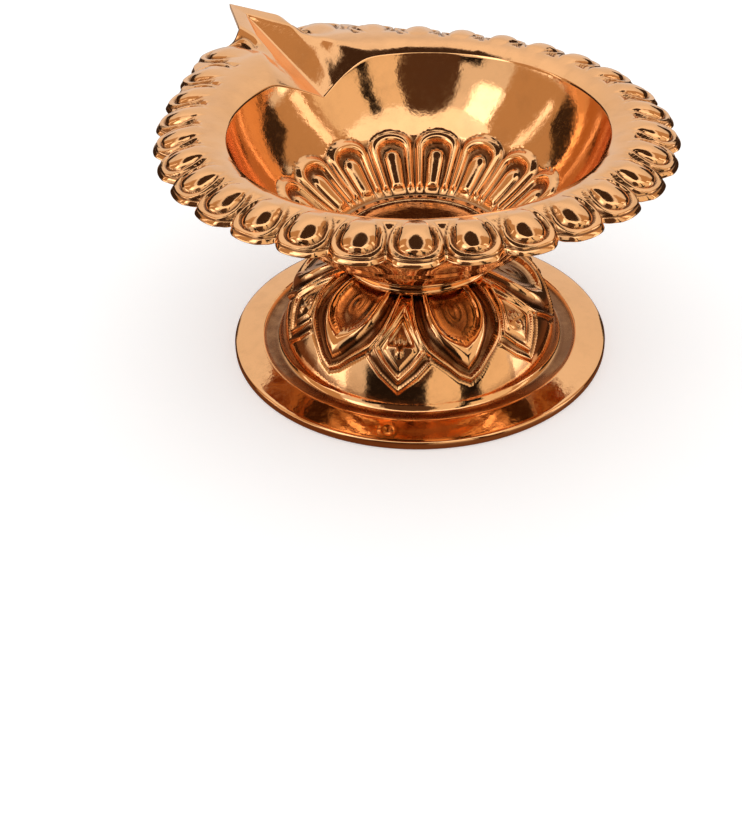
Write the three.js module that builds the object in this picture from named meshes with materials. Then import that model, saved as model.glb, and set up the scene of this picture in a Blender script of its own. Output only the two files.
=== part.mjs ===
// A small oil lamp (diya) of copper-finished sheet metal on a domed lotus stand.
// Millimetres, +Z up. The stand rests on z = 0 and the wick spout points along +Y.
// The origin is the middle of the bounding box, at its bottom.
// From the bottom up: base with its dome, collar, bowl. A stud under the bowl passes
// through the collar and the dome, and a washer and a nut inside the dome draw it tight.
import * as THREE from 'three';

// Clearances
const seatGap = 0.25; // between stacked pieces
const threadClearance = 0.15; // stud to nut and washer, on the radius
const studHoleClearance = 0.4; // stud to the hole in the dome, on the radius

// Base: a pressed foot with a conical flange, a gutter and a dome
const footRadius = 42.5;
const footBandHeight = 2.1; // upright band at the outer edge
const footEdgeRound = 0.4;
const hemWidth = 4.2; // flat ring that touches the table
const flangeWidth = 6.8;
const flangeRise = 0.8; // the flange climbs inward by this much
const gutterWidth = 3.8;
const gutterHeight = 1.7; // top of the gutter's floor above the table
const baseSheet = 1.2;
const domeHeight = 20.8;
const domeTopRadius = 15;
const domeShoulderRadius = 27.3; // handle of the dome's curve, for its shoulder
const domeShoulderDrop = 2.1;
const domeSideInset = 2.5; // handle for its side, in from its foot
const domeSideHeight = 10.4;

// Lotus pressed into the dome: petals with diamonds between them. The curves of half a
// petal and half a diamond are [degrees from the axis, share of the way down the dome].
const lotusPetals = 6;
const petalAxis = THREE.MathUtils.degToRad(45.4); // of one petal, from the spout
const petalEdge = [[0, 0.797], [4.5, 0.751], [9, 0.67], [12.8, 0.615], [17.9, 0.546],
  [20.8, 0.467], [23.1, 0.374], [24.5, 0.282], [25.4, 0.17], [26.5, 0]];
const petalHollow = [[0, 0.481], [4, 0.445], [7.4, 0.403], [10.2, 0.339], [12.1, 0.254],
  [13.3, 0.152], [14.2, 0]];
const diamondEdge = [[0, 0.167], [4.8, 0.332], [11.2, 0.521], [6, 0.637], [0, 0.751]];
const petalRidgeWidth = 1.3; // the thin ridge along a petal's edge
const petalRidgeRise = 0.7;
const petalBandWidth = 1.7; // the hollow band inside it
const petalBorderRise = 0.9; // the broad rounded border round the petal's hollow
const petalHollowDepth = 0.45;
const diamondRise = 0.7;
const diamondHollowDepth = 0.3;
const lotusFade = 0.05; // share of the dome over which the relief dies away at both ends
const lotusEnd = 0.86;

// Collar: a turned ring between dome and bowl
const collarRadius = 17;
const collarHeight = 3.6;
const collarFlare = 1.5; // wider at the top than at the foot
const collarWall = 2.2;
const collarNeckDepth = 0.7; // a turned groove between the foot and the flare
const collarFootBand = 1.1; // heights of the parts of its outside, from the bottom up
const collarFootSlope = 0.5;
const collarNeckBand = 0.4;
const collarTopBand = 0.7;

// Bowl
const bowlSheet = 1.3;
const floorRadius = 18.6;
const floorStep = 0.9; // from the floor up to the start of the wall
const bowlDepth = 25.5; // floor to the mouth's edge
const mouthRadius = 39.4;
const wallBellyInset = 3.6; // handle of the wall's curve, in from the mouth
const wallBellyHeight = 12.1; // the same handle, above the floor
const rimWidth = 13.9; // mouth's edge to the tip of a lobe
const rimRise = 2; // mouth's edge to the crest of the rim
const rimCrestShare = 0.6; // where the crest lies between mouth and tip
const rimDroop = 2.8; // from the crest down to the lobes' tips
const rimInnerPower = 3; // how sharply the rim turns over at the mouth
const rimOuterPower = 1.6; // the same between the crest and the tips
const rimEdgeHeight = 2.3; // the lobed edge is turned down, the spout's is cut sheet
const undersideRelief = 0.6; // how much of the lobes' relief shows below the rim

// Rosette of petals pressed into the wall, round the floor
const rosettePetals = 16;
const rosetteHeight = 15; // up the wall, from the floor's edge
const rosetteArch = 4; // of which the petals' round ends take this much
const rosetteRidgeRise = 0.9;
const rosetteBeadLength = 11.4;
const rosetteBeadArch = 2.6;
const rosetteBeadRise = 0.95;
const rosetteGapDepth = 0.35;

// Lobes round the rim, with one place in the ring taken by the spout
const lobePlaces = 30;
const lobeRoundness = 0.228; // radius of a lobe's end, for each unit of its centre's radius
const lobeReach = 4.8; // a lobe's centre to its tip
const lobeBandHalfWidth = 4.8; // the flat band round a lobe
const lobeBandLength = 4.4; // its outer edge, from the lobe's centre
const lobeBeadHalfWidth = 3.5; // the bead inside the band, grown out of the flange
const lobeBeadLength = 3.1;
const lobeBeadRise = 0.3;
const lobeGrooveDepth = 0.85; // round the bead
const lobeGapDepth = 0.6; // between the bands of two lobes
const lobeGrooveStart = 4.6; // the grooves start this far inward of a lobe's centre

// Spout: the rim is drawn out to a point, with a V channel pressed into it
const spoutOverhang = 26.7; // beyond the lobes' tips
const spoutTipHalfAngle = THREE.MathUtils.degToRad(21);
const spoutHalfSector = THREE.MathUtils.degToRad(5.2);
const spoutFadeStart = 0.85; // its level top fades into the lobed rim between these two
const spoutFadeEnd = 1.7; // multiples of its half sector
const spoutRise = 1.4; // the tip stands this much above the crest of the rim
const spoutLand = 9; // flat metal between the channel's end and the tip
const channelHalfWidth = 12.4; // at the bowl's wall
const channelDepth = 6.4; // below the mouth's edge, at the wall
const channelEndDepth = 0.7;
const rimPull = 24; // how far the rim is drawn out where the spout is
const rimPullAngle = THREE.MathUtils.degToRad(20.5); // the pull falls to a third over this

// Fastening
const studRadius = 3;
const studChamfer = 0.5;
const studPlateRadius = 10;
const studPlateThickness = 1.4;
const studTail = 2; // stud that shows below the nut
const washerRadius = 8;
const washerThickness = 1;
const nutAcrossFlats = 10;
const nutHeight = 5;

// Facets round each turned piece
const baseColumns = 72;
const lotusColumns = 144;
const collarColumns = 60;
const boltColumns = 36;
const bowlColumns = 120; // where the bowl is plain
const lobeColumns = [0, 0.3, 0.52, 0.69, 0.84, 1]; // shares of half a lobe
const petalColumns = [0, 0.28, 0.46, 0.62, 0.8, 1]; // shares of half a rosette petal

// Heights of the stack, worked out from the sizes above
const domeInsideZ = domeHeight - baseSheet;
const collarBottomZ = domeHeight + seatGap;
const bowlBottomZ = collarBottomZ + collarHeight + seatGap;
const studPlateTopZ = bowlBottomZ - seatGap;
const studPlateBottomZ = studPlateTopZ - studPlateThickness;
const washerBottomZ = domeInsideZ - seatGap - washerThickness;
const nutBottomZ = washerBottomZ - seatGap - nutHeight;

const rimRadius = mouthRadius + rimWidth;
const spoutReach = rimRadius + spoutOverhang;
const lobePitch = 2 * Math.PI / lobePlaces;

const copper = { color: 0xd08a5c, roughness: 0.15, metalness: 1.0 };
const steel = { color: 0xa9a6a0, roughness: 0.38, metalness: 1.0 };

const point = (radius, height) => new THREE.Vector2(radius, height);
const lerp = THREE.MathUtils.lerp;

// Turns a lathe body, made round +Y, so that its axis is +Z and its first column faces +Y.
function standUp(geometry) {
  geometry.rotateX(Math.PI / 2);
  geometry.rotateZ(Math.PI);
  return geometry;
}

// A body of revolution. The outline runs anticlockwise, with the radius to the right and
// the height up. A ring's outline is closed here. A solid's starts and ends on the axis.
function turned(outline, columns) {
  const onAxis = outline[0].x === 0;
  const points = onAxis ? outline : [...outline, outline[0].clone()];
  return standUp(new THREE.LatheGeometry(points, columns));
}

// A curve's points moved sideways, to the right of the direction of travel.
function offsetPoints(points, distance) {
  return points.map((here, index) => {
    const before = points[Math.max(index - 1, 0)];
    const after = points[Math.min(index + 1, points.length - 1)];
    const along = after.clone().sub(before).normalize();
    return point(here.x + along.y * distance, here.y - along.x * distance);
  });
}

// A closed body made from rings of points, each joined to the next and the last to the
// first. Every ring runs anticlockwise from the spout's side, and may have its own number
// of points: the next triangle is the one whose new point comes first round the axis, or
// where both come at once, the one with the shorter new edge. A ring of one point is a
// pole. The rings run outwards on top and inwards below.
function ringBody(rings, closed) {
  const positions = [];
  const add = (...points) => points.forEach((p) => positions.push(p.x, p.y, p.z));
  const order = (p) => (Math.atan2(-p.x, p.y) + 2 * Math.PI + 1e-6) % (2 * Math.PI);
  const bands = rings.slice(1).map((ring, index) => [rings[index], ring]);
  if (closed) bands.push([rings[rings.length - 1], rings[0]]);
  for (const [inner, outer] of bands) {
    const place = (ring, index) => (index < ring.length ? order(ring[index]) : 2 * Math.PI);
    const at = (ring, index) => ring[index % ring.length];
    let i = 0;
    let j = 0;
    const innerSteps = inner.length === 1 ? 0 : inner.length;
    const outerSteps = outer.length === 1 ? 0 : outer.length;
    while (i < innerSteps || j < outerSteps) {
      const lead = place(inner, i + 1) - place(outer, j + 1);
      const shorter = at(inner, i + 1).distanceTo(at(outer, j))
        < at(outer, j + 1).distanceTo(at(inner, i)) - 1e-6;
      const goInner = i < innerSteps
        && (j >= outerSteps || lead < -1e-5 || (lead < 1e-5 && shorter));
      if (goInner) {
        add(at(inner, i), at(outer, j), at(inner, i + 1));
        i += 1;
      } else {
        add(at(inner, i), at(outer, j), at(outer, j + 1));
        j += 1;
      }
    }
  }
  const geometry = new THREE.BufferGeometry();
  geometry.setAttribute('position', new THREE.Float32BufferAttribute(positions, 3));
  return geometry;
}

// A point at a radius, a height and an angle from the spout.
function placeAt(radius, height, angle) {
  return new THREE.Vector3(-radius * Math.sin(angle), radius * Math.cos(angle), height);
}

function evenAngles(count) {
  return Array.from({ length: count }, (unused, index) => 2 * Math.PI * index / count);
}

// Angles round the axis for a pattern with a feature on the spout's line: each half of a
// feature has columns at the given shares of its width.
function patternAngles(features, shares) {
  const half = Math.PI / features;
  const angles = [];
  for (let index = 0; index < features; index += 1) {
    shares.forEach((share) => angles.push((2 * index + share) * half));
    shares.slice(1, -1).reverse().forEach((share) => angles.push((2 * index + 2 - share) * half));
  }
  return angles;
}

// An angle brought to between -180 and 180 degrees.
function centred(angle) {
  return angle > Math.PI ? angle - 2 * Math.PI : angle;
}

// A rounded cap of height 1 over 0 to 1, and 0 beyond.
function cap(value) {
  return Math.sqrt(Math.max(1 - value * value, 0));
}

// A rounded ridge of height 1 round a centre.
function ridge(value, centre, halfWidth) {
  const across = Math.min(Math.abs(value - centre) / halfWidth, 1);
  return Math.cos(across * Math.PI / 2) ** 2;
}

function pathDistance(x, y, path) {
  let least = Infinity;
  const here = new THREE.Vector3(x, y, 0);
  const nearest = new THREE.Vector3();
  path.slice(1).forEach((end, index) => {
    const start = path[index];
    new THREE.Line3(new THREE.Vector3(start.x, start.y, 0), new THREE.Vector3(end.x, end.y, 0))
      .closestPointToPoint(here, true, nearest);
    least = Math.min(least, nearest.distanceTo(here));
  });
  return least;
}

// The greatest distance from the axis that a half shape's edge reaches at a height.
function halfWidthAt(y, path) {
  let width = 0;
  path.slice(1).forEach((end, index) => {
    const start = path[index];
    const share = (y - start.y) / (end.y - start.y);
    if (share >= 0 && share <= 1) width = Math.max(width, lerp(start.x, end.x, share));
  });
  return width;
}

const gutterOuterRadius = footRadius - flangeWidth;
const domeFootRadius = gutterOuterRadius - gutterWidth;
const dome = new THREE.CubicBezierCurve(
  point(domeTopRadius, domeHeight),
  point(domeShoulderRadius, domeHeight - domeShoulderDrop),
  point(domeFootRadius - domeSideInset, domeSideHeight),
  point(domeFootRadius, gutterHeight),
);
const domeLength = dome.getLength();

// A curve of the lotus laid out flat: distance from its axis, and down the dome.
function laidOut(path) {
  return path.map(([degrees, share]) => {
    const radius = dome.getPointAt(share).x;
    return point(THREE.MathUtils.degToRad(degrees) * radius, share * domeLength);
  });
}

const petalEdgeFlat = laidOut(petalEdge);
const petalHollowFlat = laidOut(petalHollow);
const diamondFlat = laidOut(diamondEdge);

// How far the lotus stands out of the dome, at a share of the way down and an angle.
function lotusRelief(share, angle) {
  const pitch = 2 * Math.PI / lotusPetals;
  const turn = (angle - petalAxis) / pitch;
  const off = Math.abs(turn - Math.round(turn)) * pitch;
  const radius = dome.getPointAt(share).x;
  const y = share * domeLength;
  const x = off * radius;
  const inPetal = x < halfWidthAt(y, petalEdgeFlat);
  const fromEdge = pathDistance(x, y, petalEdgeFlat);
  const fromHollow = pathDistance(x, y, petalHollowFlat);
  let height = 0;
  if (inPetal && x < halfWidthAt(y, petalHollowFlat)) {
    height = -petalHollowDepth * THREE.MathUtils.smoothstep(fromHollow, 0, 2);
  } else if (inPetal) {
    const border = Math.max(fromEdge - petalRidgeWidth - petalBandWidth, 0);
    height = petalRidgeRise * ridge(fromEdge, petalRidgeWidth / 2, petalRidgeWidth)
      + petalBorderRise * Math.sin(Math.PI * border / (border + fromHollow + 0.001));
  } else {
    const aside = (pitch / 2 - off) * radius;
    const width = halfWidthAt(y, diamondFlat);
    const fromDiamond = pathDistance(aside, y, diamondFlat);
    height = diamondRise * ridge(fromDiamond, 0, petalRidgeWidth);
    if (aside < width) height -= diamondHollowDepth * ridge(fromDiamond, 2, 1);
  }
  const ends = THREE.MathUtils.smoothstep(share, 0, lotusFade)
    * (1 - THREE.MathUtils.smoothstep(share, lotusEnd - lotusFade, lotusEnd));
  return height * ends;
}

// One ring of the dome's outside, with the lotus on it and a column on each petal's axis.
function lotusRing(share) {
  const here = dome.getPointAt(share);
  const along = dome.getTangentAt(share);
  return evenAngles(lotusColumns).map((even) => {
    const angle = even + petalAxis % (2 * Math.PI / lotusColumns);
    const rise = lotusRelief(share, angle);
    return placeAt(here.x - along.y * rise, here.y + along.x * rise, angle);
  });
}

function baseGeometry() {
  const flangeTopZ = footBandHeight + flangeRise;
  const holeRadius = studRadius + studHoleClearance;
  const undersideZ = gutterHeight - baseSheet;
  const plainShares = [0.9, 1];
  const inside = offsetPoints([0, 0.2, 0.38, 0.56, 0.74, 0.88, 1].map((s) => dome.getPointAt(s)),
    baseSheet).reverse();
  inside[0].y = undersideZ;
  inside[inside.length - 1].y = domeInsideZ;
  const plainRing = (place) => evenAngles(baseColumns)
    .map((angle) => placeAt(place.x, place.y, angle));
  const lotusShares = [0.08, 0.16, 0.24, 0.32, 0.39, 0.46, 0.52, 0.58, 0.64, 0.7, 0.76, 0.82];
  return ringBody([
    plainRing(point(holeRadius, domeHeight)),
    plainRing(dome.getPointAt(0)),
    ...lotusShares.map(lotusRing),
    ...plainShares.map((share) => plainRing(dome.getPointAt(share))),
    ...[
      point(gutterOuterRadius - footEdgeRound, gutterHeight),
      point(gutterOuterRadius, flangeTopZ - footEdgeRound),
      point(gutterOuterRadius + footEdgeRound, flangeTopZ),
      point(footRadius - footEdgeRound, footBandHeight),
      point(footRadius, footBandHeight - footEdgeRound),
      point(footRadius, footEdgeRound),
      point(footRadius - footEdgeRound, 0),
      point(footRadius - hemWidth, 0),
      point(footRadius - hemWidth, undersideZ),
      ...inside,
      point(holeRadius, domeInsideZ),
    ].map(plainRing),
  ], true);
}

function collarGeometry() {
  const topRadius = collarRadius + collarFlare;
  const innerRadius = collarRadius - collarWall;
  const neckRadius = collarRadius - collarNeckDepth;
  const neckBottomZ = collarFootBand + collarFootSlope;
  return turned([
    point(innerRadius, 0),
    point(collarRadius, 0),
    point(collarRadius, collarFootBand),
    point(neckRadius, neckBottomZ),
    point(neckRadius, neckBottomZ + collarNeckBand),
    point(topRadius, collarHeight - collarTopBand),
    point(topRadius, collarHeight),
    point(innerRadius, collarHeight),
  ], collarColumns);
}

// The bowl's wall, from the floor's edge to the mouth. The bowl's underside is at z = 0.
const floorZ = bowlSheet;
const mouthZ = floorZ + bowlDepth;
const crestZ = mouthZ + rimRise;
const wall = new THREE.QuadraticBezierCurve(
  point(floorRadius + floorStep, floorZ + floorStep),
  point(mouthRadius - wallBellyInset, floorZ + wallBellyHeight),
  point(mouthRadius, mouthZ),
);

// How far along the wall's curve a height is reached.
function wallShareAt(height) {
  let low = 0;
  let high = 1;
  for (let step = 0; step < 40; step += 1) {
    const middle = (low + high) / 2;
    if (wall.getPoint(middle).y < height) low = middle;
    else high = middle;
  }
  return low;
}

const channelStartZ = mouthZ - channelDepth;
const channelStartShare = wallShareAt(channelStartZ);
const channelStart = wall.getPoint(channelStartShare).x;
const channelEnd = spoutReach - spoutLand;
const tipZ = crestZ + spoutRise;

// Radius of the rim's scalloped outline. Each lobe ends in a round, and the rim is drawn
// out on both sides of the spout, whose own two straight edges run from the first lobes
// to a point.
function outlineRadius(angle) {
  const slope = Math.tan(spoutTipHalfAngle);
  const tip = spoutReach * slope / (Math.sin(Math.abs(angle)) + Math.cos(angle) * slope);
  const place = Math.abs(angle) / lobePitch;
  const reaches = [Math.floor(place), Math.ceil(place)].filter((index) => index > 0).map((index) => {
    const pull = rimPull * Math.exp(-index * lobePitch / rimPullAngle);
    const centre = (rimRadius + pull) / (1 + lobeRoundness);
    const off = Math.sin(Math.abs(angle) - index * lobePitch);
    const reach = Math.max(lobeRoundness ** 2 - off ** 2, 0);
    return centre * (Math.sqrt(1 - off ** 2) + Math.sqrt(reach));
  });
  return Math.max(place < 1 ? tip : 0, ...reaches);
}

// Height of the rim's upper face without its lobes, for a share of the way from the mouth
// to the outline.
function rimHeight(share, radius, angle) {
  const inward = Math.max(1 - share / rimCrestShare, 0);
  const outward = Math.max(share - rimCrestShare, 0) / (1 - rimCrestShare);
  const turnOver = mouthZ + rimRise * (1 - inward ** rimInnerPower);
  const arch = turnOver - rimDroop * outward ** rimOuterPower;
  const flat = turnOver + spoutRise * share;
  const atSpout = 1 - THREE.MathUtils.smoothstep(
    Math.abs(angle), spoutFadeStart * spoutHalfSector, spoutFadeEnd * spoutHalfSector);
  const top = lerp(arch, flat, atSpout);
  const along = radius * Math.cos(angle);
  const aside = Math.abs(radius * Math.sin(angle));
  const way = (along - channelStart) / (channelEnd - channelStart);
  const halfWidth = channelHalfWidth * (1 - way);
  if (Math.cos(angle) < 0 || way >= 1 || aside >= halfWidth) return top;
  const valley = lerp(channelStartZ, tipZ - channelEndDepth, Math.max(way, 0));
  return lerp(Math.min(valley, top), top, aside / halfWidth);
}

// How far a lobe stands above the rim: a bead that grows out of the flange, a groove round
// its outer end, a flat band round the groove, and a gap to the next lobe.
function lobeRelief(radius, angle) {
  const index = Math.max(Math.round(Math.abs(angle) / lobePitch), 1);
  const size = 1 + rimPull * Math.exp(-index * lobePitch / rimPullAngle) / rimRadius;
  const centre = rimRadius - lobeReach;
  const along = radius / size - centre;
  const aside = centre * Math.abs(Math.sin(Math.abs(angle) - index * lobePitch));
  const outward = Math.max(along, 0);
  const bead = Math.hypot(aside / lobeBeadHalfWidth, outward / lobeBeadLength);
  const band = Math.hypot(aside / lobeBandHalfWidth, outward / lobeBandLength);
  const grown = THREE.MathUtils.smoothstep(along, -lobeGrooveStart, 0);
  let height = 0;
  if (bead < 1) height = (lobeBeadRise + lobeGrooveDepth) * cap(bead) - lobeGrooveDepth;
  else height = -lobeGrooveDepth * ridge(bead, 1, 0.1);
  height -= lobeGapDepth * THREE.MathUtils.smoothstep(band, 0.96, 1.05);
  const clear = THREE.MathUtils.smoothstep(
    Math.abs(angle), spoutFadeStart * spoutHalfSector, spoutFadeEnd * spoutHalfSector);
  return height * grown * clear;
}

// How far a petal of the rosette stands out of the wall, for a distance up the wall.
function rosetteRelief(rise, angle) {
  const pitch = 2 * Math.PI / rosettePetals;
  const turn = angle / pitch;
  const aside = 2 * Math.abs(turn - Math.round(turn));
  const end = Math.max(rise - (rosetteHeight - rosetteArch), 0);
  const level = Math.hypot(aside / 1.06, end / rosetteArch);
  const beadEnd = Math.max(rise - (rosetteBeadLength - rosetteBeadArch), 0);
  const bead = Math.hypot(aside / 0.42, beadEnd / rosetteBeadArch);
  const foot = THREE.MathUtils.smoothstep(rise, 0, 1.2);
  const above = THREE.MathUtils.smoothstep(rise, rosetteHeight - 3, rosetteHeight - 2);
  return foot * (rosetteBeadRise * cap(bead) + rosetteRidgeRise * ridge(level, 0.76, 0.23)
    - rosetteGapDepth * ridge(aside, 1, 0.1) * (1 - above));
}

// The bowl from its floor's middle outwards, over the rim and back below.
function bowlGeometry() {
  const wallLength = wall.getLength();
  const plain = evenAngles(bowlColumns).map(centred);
  const lobed = patternAngles(lobePlaces, lobeColumns).map(centred);
  const petalled = patternAngles(rosettePetals, petalColumns).map(centred);
  const ring = (angles, place) => angles.map((angle) => {
    const { x, y } = place(angle);
    return placeAt(x, y, angle);
  });

  // The wall ends at the channel's edge where the channel cuts into it.
  const wallTop = (angle) => {
    const aside = mouthRadius * Math.abs(Math.sin(angle)) / channelHalfWidth;
    const clear = Math.cos(angle) < 0 ? 1 : Math.min(aside, 1);
    return lerp(channelStartShare, 1, clear);
  };
  const petals = (rise) => (angle) => {
    const share = rise / wallLength;
    const here = wall.getPointAt(share);
    const along = wall.getTangentAt(share);
    const relief = rosetteRelief(rise, angle);
    return point(here.x - along.y * relief, here.y + along.x * relief);
  };
  const inner = (share) => (angle) => wall.getPoint(share * wallTop(angle));
  const outer = (share) => (angle) => {
    const here = wall.getPoint(share * wallTop(angle));
    const along = wall.getTangent(share * wallTop(angle));
    return point(here.x + along.y * bowlSheet, here.y - along.x * bowlSheet);
  };
  const rim = (share, drop, relief) => (angle) => {
    const mouth = wall.getPoint(wallTop(angle)).x;
    const radius = lerp(mouth, outlineRadius(angle), share);
    const height = rimHeight(share, radius, angle) - drop;
    return point(radius, height + relief * lobeRelief(radius, angle));
  };
  const edge = (angle) => {
    const { x, y } = rim(1, 0, 1)(angle);
    const lobed = THREE.MathUtils.smoothstep(Math.abs(angle), spoutHalfSector,
      spoutFadeEnd * spoutHalfSector);
    return point(x, y - lerp(bowlSheet, rimEdgeHeight, lobed));
  };
  const level = (radius, height) => () => point(radius, height);
  const petalRises = [0, 1.3, 5.5, 9.2, 10.6, 11.8, 13.3, rosetteHeight];
  return ringBody([
    [placeAt(0, floorZ, 0)],
    ring(plain, level(floorRadius, floorZ)),
    ...petalRises.map((rise) => ring(petalled, petals(rise))),
    ...[0.6, 0.8, 1].map((share) => ring(plain, inner(share))),
    ring(plain, rim(0.1, 0, 0)),
    ...[0.3, 0.45, 0.6, 0.73, 0.83, 0.89, 0.94, 1].map((share) => ring(lobed, rim(share, 0, 1))),
    ring(lobed, edge),
    ring(plain, rim(0.93, bowlSheet, undersideRelief)),
    ring(plain, rim(0.75, bowlSheet, undersideRelief)),
    ring(plain, rim(0.45, bowlSheet, 0)),
    ring(plain, rim(0.17, bowlSheet, 0)),
    ...[0.93, 0.72, 0.5, 0.28, 0.05].map((share) => ring(plain, outer(share))),
    ring(plain, level(floorRadius, 0)),
    [placeAt(0, 0, 0)],
  ], false);
}

function studGeometry() {
  const bottomZ = nutBottomZ - studTail;
  return turned([
    point(0, bottomZ),
    point(studRadius - studChamfer, bottomZ),
    point(studRadius, bottomZ + studChamfer),
    point(studRadius, studPlateBottomZ),
    point(studPlateRadius, studPlateBottomZ),
    point(studPlateRadius, studPlateTopZ),
    point(0, studPlateTopZ),
  ], boltColumns);
}

function washerGeometry() {
  const boreRadius = studRadius + threadClearance;
  return turned([
    point(boreRadius, 0),
    point(washerRadius, 0),
    point(washerRadius, washerThickness),
    point(boreRadius, washerThickness),
  ], boltColumns);
}

function nutGeometry() {
  const corners = Array.from({ length: 6 }, (unused, index) => {
    const angle = index * Math.PI / 3;
    const radius = nutAcrossFlats / Math.sqrt(3);
    return point(radius * Math.cos(angle), radius * Math.sin(angle));
  });
  const bore = new THREE.Path();
  bore.absarc(0, 0, studRadius + threadClearance, 0, 2 * Math.PI, true);
  const outline = new THREE.Shape(corners);
  outline.holes.push(bore);
  return new THREE.ExtrudeGeometry(outline, {
    depth: nutHeight, bevelEnabled: false, curveSegments: boltColumns / 2,
  });
}

function piece(name, geometry, finish, z) {
  const mesh = new THREE.Mesh(geometry, new THREE.MeshStandardMaterial(finish));
  mesh.name = name;
  mesh.position.z = z;
  return mesh;
}

const diya = new THREE.Group();
diya.add(
  piece('base', baseGeometry(), copper, 0),
  piece('collar', collarGeometry(), copper, collarBottomZ),
  piece('bowl', bowlGeometry(), copper, bowlBottomZ),
  piece('stud', studGeometry(), steel, 0),
  piece('washer', washerGeometry(), steel, washerBottomZ),
  piece('nut', nutGeometry(), steel, nutBottomZ),
);
diya.position.y = (rimRadius - spoutReach) / 2;

export default diya;
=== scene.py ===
"""An oil lamp of polished copper on a lotus stand, dressed for a studio picture.

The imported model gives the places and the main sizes. The base, the collar and the bowl are
worked out here again as fine closed surfaces with their pressed ornament. The stud, the
washer and the nut inside the foot are carried over. Lengths are written in millimetres
and put into the meshes in metres.
"""
import math

import bpy
import numpy as np
from mathutils import Matrix, Vector


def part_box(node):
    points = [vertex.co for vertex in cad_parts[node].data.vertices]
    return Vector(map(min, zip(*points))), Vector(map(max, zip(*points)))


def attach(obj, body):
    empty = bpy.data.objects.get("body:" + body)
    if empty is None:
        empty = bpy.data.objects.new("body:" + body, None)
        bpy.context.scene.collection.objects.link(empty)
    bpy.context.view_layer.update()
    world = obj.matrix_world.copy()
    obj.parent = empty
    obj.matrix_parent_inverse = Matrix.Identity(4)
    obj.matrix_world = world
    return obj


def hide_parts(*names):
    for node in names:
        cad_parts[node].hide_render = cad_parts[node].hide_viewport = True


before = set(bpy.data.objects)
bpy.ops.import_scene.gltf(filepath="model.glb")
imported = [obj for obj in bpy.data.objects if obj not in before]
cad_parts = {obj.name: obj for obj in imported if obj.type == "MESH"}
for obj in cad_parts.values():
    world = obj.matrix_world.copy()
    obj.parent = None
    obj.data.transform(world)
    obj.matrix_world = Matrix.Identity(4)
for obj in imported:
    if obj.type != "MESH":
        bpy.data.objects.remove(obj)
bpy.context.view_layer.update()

MM = 0.001


def node_box(node):
    """Lowest and highest corners of a CAD node, in millimetres."""
    low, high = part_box(node)
    return np.array(low) / MM, np.array(high) / MM


base_low, base_high = node_box("base")
collar_low, collar_high = node_box("collar")
bowl_low, bowl_high = node_box("bowl")

SEAT_GAP = 0.25            # between stacked pieces
AXIS_Y = (base_low[1] + base_high[1]) / 2  # the turned axis, along the spout's line
FOOT_RADIUS = (base_high[0] - base_low[0]) / 2
COLLAR_BOTTOM, COLLAR_TOP = collar_low[2], collar_high[2]
COLLAR_TOP_RADIUS = (collar_high[0] - collar_low[0]) / 2
DOME_TOP = COLLAR_BOTTOM - SEAT_GAP
BOWL_BOTTOM = bowl_low[2]
SPOUT_REACH = bowl_high[1] - AXIS_Y
SPOUT_TIP = bowl_high[2]

# Bowl, as in the CAD model
BOWL_SHEET = 1.3
FLOOR_Z = BOWL_BOTTOM + BOWL_SHEET
FLOOR_RADIUS = 18.6
FLOOR_STEP = 0.9           # the wall's curve starts this far out from the floor and up
MOUTH_RADIUS = 39.4
WALL_BELLY_INSET = 3.6     # handle of the wall's curve, in from the mouth
WALL_BELLY_HEIGHT = 12.1   # the same handle, above the floor
SPOUT_OVERHANG = 26.7      # beyond the lobes' tips
RIM_RADIUS = SPOUT_REACH - SPOUT_OVERHANG
RIM_RISE = 2.0             # from the mouth up to the crest
SPOUT_RISE = 1.4           # from the crest up to the spout's tip
MOUTH_Z = SPOUT_TIP - RIM_RISE - SPOUT_RISE
WALL = np.array([
    (FLOOR_RADIUS + FLOOR_STEP, FLOOR_Z + FLOOR_STEP),
    (MOUTH_RADIUS - WALL_BELLY_INSET, FLOOR_Z + WALL_BELLY_HEIGHT),
    (MOUTH_RADIUS, MOUTH_Z),
])
RIM_CREST_SHARE = 0.42     # where the crest lies, from the mouth at 0 to the tips at 1
RIM_DROOP = 2.7            # from the crest down to the lobes' tips
RIM_INNER_POWER = 2.6
RIM_OUTER_POWER = 1.2
FLANGE_DIP = 0.4           # the lobed part lies this much under the spout's level
FLANGE_DIPS = (math.radians(15), math.radians(50))
LOBE_PITCH = math.radians(12)
LOBE_ROUNDNESS = 0.228     # radius of a lobe's end, for each unit of its centre's radius
LOBE_REACH = 4.8           # a lobe's centre to the rim's outline
RIM_PULL = 24.0            # how far the rim is drawn out where the spout is
RIM_PULL_ANGLE = math.radians(20.5)  # the pull falls to a third over this
SPOUT_TIP_HALF_ANGLE = math.radians(21)
SPOUT_HALF_SECTOR = math.radians(5.2)
SPOUT_FADES = (0.85 * SPOUT_HALF_SECTOR, 1.7 * SPOUT_HALF_SECTOR)
CHANNEL_HALF_WIDTH = 12.4  # at the bowl's wall
CHANNEL_DEPTH = 6.4        # below the mouth's edge, at the wall
CHANNEL_END_DEPTH = 0.7    # below the tip, at the channel's outer end
SPOUT_LAND = 9             # flat metal between the channel's end and the tip
CHANNEL_END = SPOUT_REACH - SPOUT_LAND
CHANNEL_EDGE_ROUND = 0.3
CHANNEL_MOUTH_ROUND = 0.6  # added to the rounding where the channel meets the mouth

# Edge of the rim
LIP = 0.8                  # how far the rounded edge stands out beyond the lobes
SPOUT_LIP = 0.15
EDGE_INSET = 0.05          # keeps the lobes' edge inside the CAD model's
EDGE_HEIGHT = 1.5          # the lobed edge is turned down by this much
NOTCH = 1.2                # how much deeper the notches between the lobes are cut
NOTCH_START = 0.5          # share of half a lobe at which a notch starts
NOTCH_POWER = 1.7
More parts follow.
